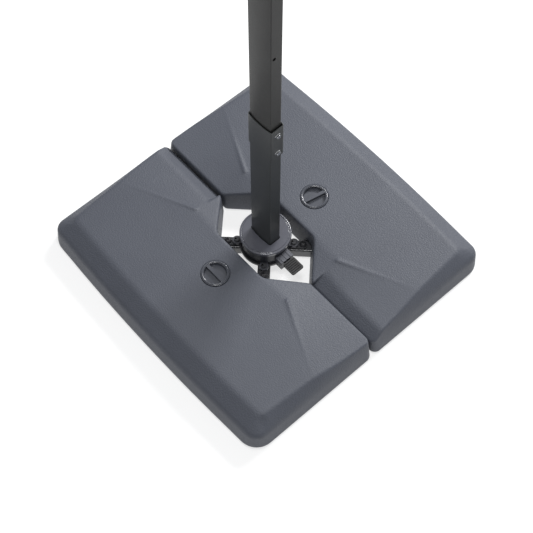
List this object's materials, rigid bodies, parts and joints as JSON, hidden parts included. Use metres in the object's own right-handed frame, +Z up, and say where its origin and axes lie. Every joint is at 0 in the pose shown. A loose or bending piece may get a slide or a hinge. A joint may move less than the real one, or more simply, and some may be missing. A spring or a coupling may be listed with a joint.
{
  "type": "parasol base",
  "caption": "Square parasol base: two fillable ballast weights round a steel cross foot, with a turning mast socket, foot-pedal brake and clamped two-part mast.",
  "frame": {"origin": "on the floor, on the turret's turning axis, at the middle of the footprint", "axes": "+X runs along the split between the two weights, towards the foot pedal; +Y runs towards the rear weight; +Z is up along the mast"},
  "size_m": [1, 1, 1.28],
  "materials": {
    "weight_plastic": "fine-grained, satin-matte moulded polyethylene",
    "cap_plastic": "moulded, slightly glossier than the weights",
    "water": null,
    "rubber": "matt black",
    "arm_steel": "powder-coated, fine texture",
    "mast_steel": "powder-coated, satin",
    "upper_mast_steel": "powder-coated, satin",
    "housing_paint": "cast, powder-coated",
    "turret_paint": "cast, powder-coated, worn bright on its rim",
    "bracket_paint": "powder-coated",
    "black_plastic": "moulded, matt",
    "bearing_plastic": "natural nylon",
    "hub_iron": "machined casting",
    "zinc_steel": "zinc plated",
    "bright_steel": "bright plated",
    "brake_fibre": "friction fibre"
  },
  "bodies": {
    "root": {"long_beam": "arm_steel", "front_right_arm": "arm_steel", "rear_left_arm": "arm_steel", "arm_end_caps": "black_plastic", "foot_pads": "rubber", "centre_plate": "arm_steel", "arm_bolts": "black_plastic", "arm_nuts": "zinc_steel", "swivel_housing": "housing_paint", "housing_bolts": "arm_steel", "swivel_bush": "bearing_plastic", "thrust_washer": "bearing_plastic", "king_bolt": "zinc_steel", "king_washer": "zinc_steel", "king_nut": "zinc_steel", "pedal_bracket": "bracket_paint", "pedal_pin": "zinc_steel", "pedal_springs": "zinc_steel"},
    "turret": {"mast_hub": "hub_iron", "turret_cap": "turret_paint", "lower_mast": "mast_steel", "mast_stop_plate": "mast_steel", "mast_sleeve": "mast_steel", "clamp_bolts": "bright_steel", "clamp_nuts": "zinc_steel"},
    "upper_mast": {"upper_mast": "upper_mast_steel"},
    "pedal": {"pedal_lever": "housing_paint", "pedal_pad": "rubber"},
    "brake": {"brake_shoe": "zinc_steel", "brake_lining": "brake_fibre"},
    "front_weight": {"front_weight": "weight_plastic", "front_ballast": "water"},
    "front_seal": {"front_cap_seal": "rubber"},
    "front_cap": {"front_cap": "cap_plastic"},
    "rear_weight": {"rear_weight": "weight_plastic", "rear_ballast": "water"},
    "rear_seal": {"rear_cap_seal": "rubber"},
    "rear_cap": {"rear_cap": "cap_plastic"}
  },
  "joints": [
    {"name": "turret_swivel", "type": "hinge", "parent": "root", "child": "turret", "pos_m": [0, 0, 0.08], "axis": [0, 0, 1], "continuous": true},
    {"name": "mast_lift", "type": "slide", "parent": "turret", "child": "upper_mast", "axis": [0, 0, 1], "range_m": [0, 0.16]},
    {"name": "pedal_press", "type": "hinge", "parent": "root", "child": "pedal", "pos_m": [0.08805, 0, 0.062], "axis": [0, 1, 0], "range_deg": [0, 15], "stiffness_Nm_per_rad": 3, "springref_deg": -17.19},
    {"name": "brake_release", "type": "slide", "parent": "root", "child": "brake", "axis": [1, 0, 0], "range_m": [0, 0.0035]},
    {"name": "front_weight_lift", "type": "slide", "parent": "root", "child": "front_weight", "axis": [0, 0, 1], "range_m": [0, 0.15]},
    {"name": "front_cap_lift", "type": "slide", "parent": "front_weight", "child": "front_seal", "axis": [0, 0, 1], "range_m": [0, 0.06]},
    {"name": "front_cap_turn", "type": "hinge", "parent": "front_seal", "child": "front_cap", "pos_m": [0, -0.208, 0.1], "axis": [0, 0, 1], "range_deg": [0, 540]},
    {"name": "rear_weight_lift", "type": "slide", "parent": "root", "child": "rear_weight", "axis": [0, 0, 1], "range_m": [0, 0.15]},
    {"name": "rear_cap_lift", "type": "slide", "parent": "rear_weight", "child": "rear_seal", "axis": [0, 0, 1], "range_m": [0, 0.06]},
    {"name": "rear_cap_turn", "type": "hinge", "parent": "rear_seal", "child": "rear_cap", "pos_m": [0, 0.208, 0.1], "axis": [0, 0, 1], "range_deg": [0, 540]}
  ],
  "couplings": [
    {"joint": "brake_release", "follows": "pedal_press", "m_per_rad": 0.01335}
  ]
}
